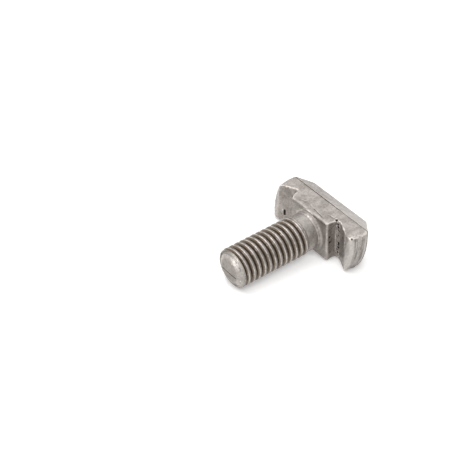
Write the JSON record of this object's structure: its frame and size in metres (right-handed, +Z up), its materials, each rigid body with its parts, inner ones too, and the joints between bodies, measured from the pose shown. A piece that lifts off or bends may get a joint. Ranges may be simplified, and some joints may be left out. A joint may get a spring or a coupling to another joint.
{
  "type": "hammer-head T-slot bolt",
  "caption": "Stainless bolt with a rectangular hammer head: square block and hooked lips grip a T-slot, and a metric threaded shank takes a nut.",
  "frame": {"origin": "on the shank's axis, in the front face of the head's guide block", "axes": "+X along the shank to the thread's end, Y along the head's length, +Z up as the bolt lies on the head's flat side"},
  "size_m": [0.0269, 0.0236, 0.0094],
  "materials": {
    "steel": "matt, lightly blasted, warm grey"
  },
  "bodies": {
    "root": {"bolt": "steel"}
  },
  "joints": []
}
